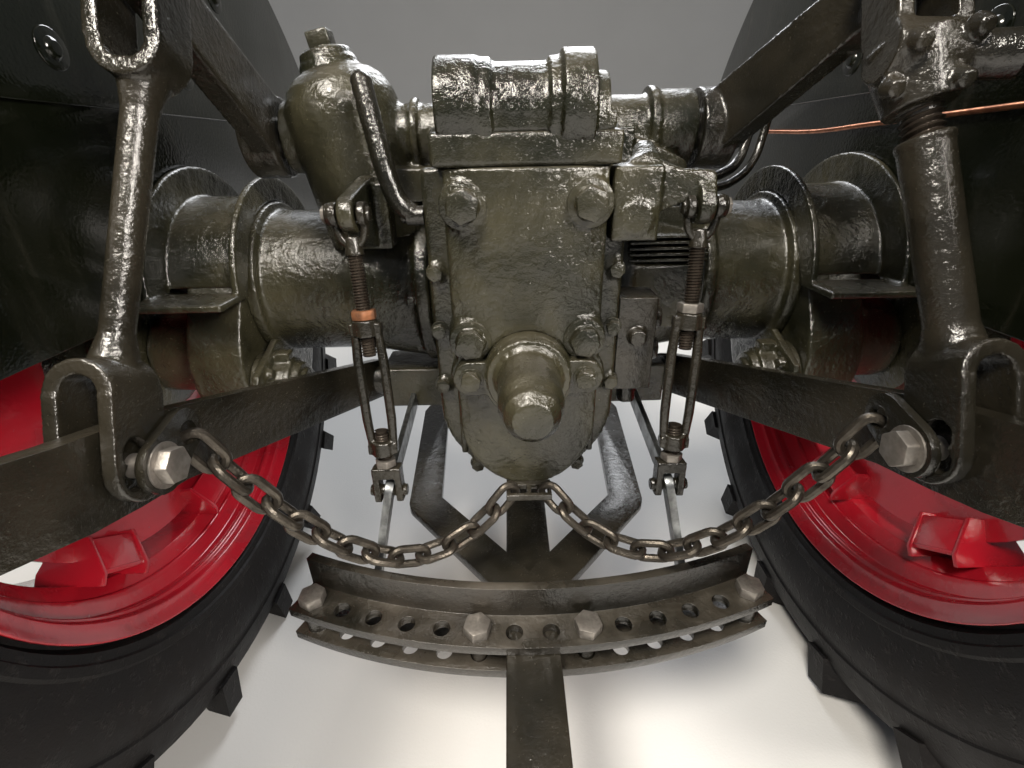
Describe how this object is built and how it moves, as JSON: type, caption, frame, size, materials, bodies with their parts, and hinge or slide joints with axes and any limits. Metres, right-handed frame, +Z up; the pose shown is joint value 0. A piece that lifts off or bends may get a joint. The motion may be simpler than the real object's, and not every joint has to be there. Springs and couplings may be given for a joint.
{
  "type": "tractor rear axle with three-point linkage",
  "caption": "Rear half of a vintage farm tractor: gear case, portal axle, lugged wheels, mudguards, lift arms, lower links with check chains, and drawbar.",
  "frame": {"origin": "centre of the front bolt flange, on its front face", "axes": "+X to the machine's right, +Y forward out of the front flange, +Z up"},
  "size_m": [1.552, 1.3982, 1.2665],
  "materials": {
    "green_cast": "gloss, thick olive paint over rough casting",
    "green_sheet": "gloss olive paint on sheet",
    "black_paint": "gloss black-green paint",
    "wheel_red": "gloss red paint",
    "tyre": "dusty black rubber",
    "chain_steel": "dull, dark",
    "bare_steel": "greased",
    "copper": "dull copper"
  },
  "bodies": {
    "rear_axle": {"gear_case": "green_cast", "rear_cover": "green_cast", "shaft_cap": "green_cast", "lift_cover": "green_cast", "top_link_bracket": "green_cast", "lift_shaft_housing": "green_cast", "lift_cylinder_housing": "green_cast", "control_rods": "black_paint", "brace_brackets": "green_cast", "valve_block": "black_paint", "axle_trumpet_left": "green_cast", "axle_trumpet_right": "green_cast", "final_drive_left": "green_cast", "final_drive_right": "green_cast", "brake_housing_left": "green_cast", "brake_housing_right": "green_cast", "guard_bracket_left": "green_sheet", "guard_bracket_right": "green_sheet", "mudguard_left": "green_sheet", "mudguard_right": "green_sheet", "copper_pipe": "copper", "drawbar_frame": "black_paint", "quadrant": "black_paint", "drawbar": "black_paint", "turnbuckle_left": "black_paint", "turnbuckle_right": "black_paint", "stay_straps": "black_paint", "chain_bar": "black_paint", "check_chain_left": "chain_steel", "check_chain_right": "chain_steel"},
    "lift_arms": {"lift_shaft": "bare_steel", "lift_arm_left": "black_paint", "lift_arm_right": "black_paint"},
    "lift_rod_left": {"lift_rod_left": "black_paint"},
    "lift_rod_right": {"lift_rod_right": "black_paint"},
    "lower_link_left": {"lower_link_left": "black_paint"},
    "lower_link_right": {"lower_link_right": "black_paint"},
    "wheel_left": {"tyre_left": "tyre", "rim_left": "wheel_red", "hub_left": "wheel_red"},
    "wheel_right": {"tyre_right": "tyre", "rim_right": "wheel_red", "hub_right": "wheel_red"}
  },
  "joints": [
    {"name": "lift_arms_turn", "type": "hinge", "parent": "rear_axle", "child": "lift_arms", "pos_m": [0, -0.56, 0.17], "axis": [-1, 0, 0], "range_deg": [-45, 30]},
    {"name": "lower_link_left_pivot", "type": "hinge", "parent": "rear_axle", "child": "lower_link_left", "pos_m": [-0.232, -0.52, -0.17], "axis": [-1, 0, 0], "range_deg": [-26.37, 17.58], "deforming": ["check_chain_left"]},
    {"name": "lift_rod_left_pivot", "type": "hinge", "parent": "lift_arms", "child": "lift_rod_left", "pos_m": [-0.295, -0.745, 0.285], "axis": [-1, 0, 0], "range_deg": [-25.92, 38.88]},
    {"name": "wheel_left_spin", "type": "hinge", "parent": "rear_axle", "child": "wheel_left", "pos_m": [-0.63, -0.56, -0.1], "axis": [1, 0, 0], "continuous": true},
    {"name": "lower_link_right_pivot", "type": "hinge", "parent": "rear_axle", "child": "lower_link_right", "pos_m": [0.232, -0.52, -0.17], "axis": [-1, 0, 0], "range_deg": [-26.37, 17.58], "deforming": ["check_chain_right"]},
    {"name": "lift_rod_right_pivot", "type": "hinge", "parent": "lift_arms", "child": "lift_rod_right", "pos_m": [0.295, -0.745, 0.285], "axis": [-1, 0, 0], "range_deg": [-25.92, 38.88]},
    {"name": "wheel_right_spin", "type": "hinge", "parent": "rear_axle", "child": "wheel_right", "pos_m": [0.63, -0.56, -0.1], "axis": [1, 0, 0], "continuous": true}
  ],
  "couplings": [
    {"joint": "lower_link_left_pivot", "follows": "lift_arms_turn", "ratio": 0.586},
    {"joint": "lift_rod_left_pivot", "follows": "lift_arms_turn", "ratio": -0.864},
    {"joint": "lower_link_right_pivot", "follows": "lift_arms_turn", "ratio": 0.586},
    {"joint": "lift_rod_right_pivot", "follows": "lift_arms_turn", "ratio": -0.864}
  ]
}
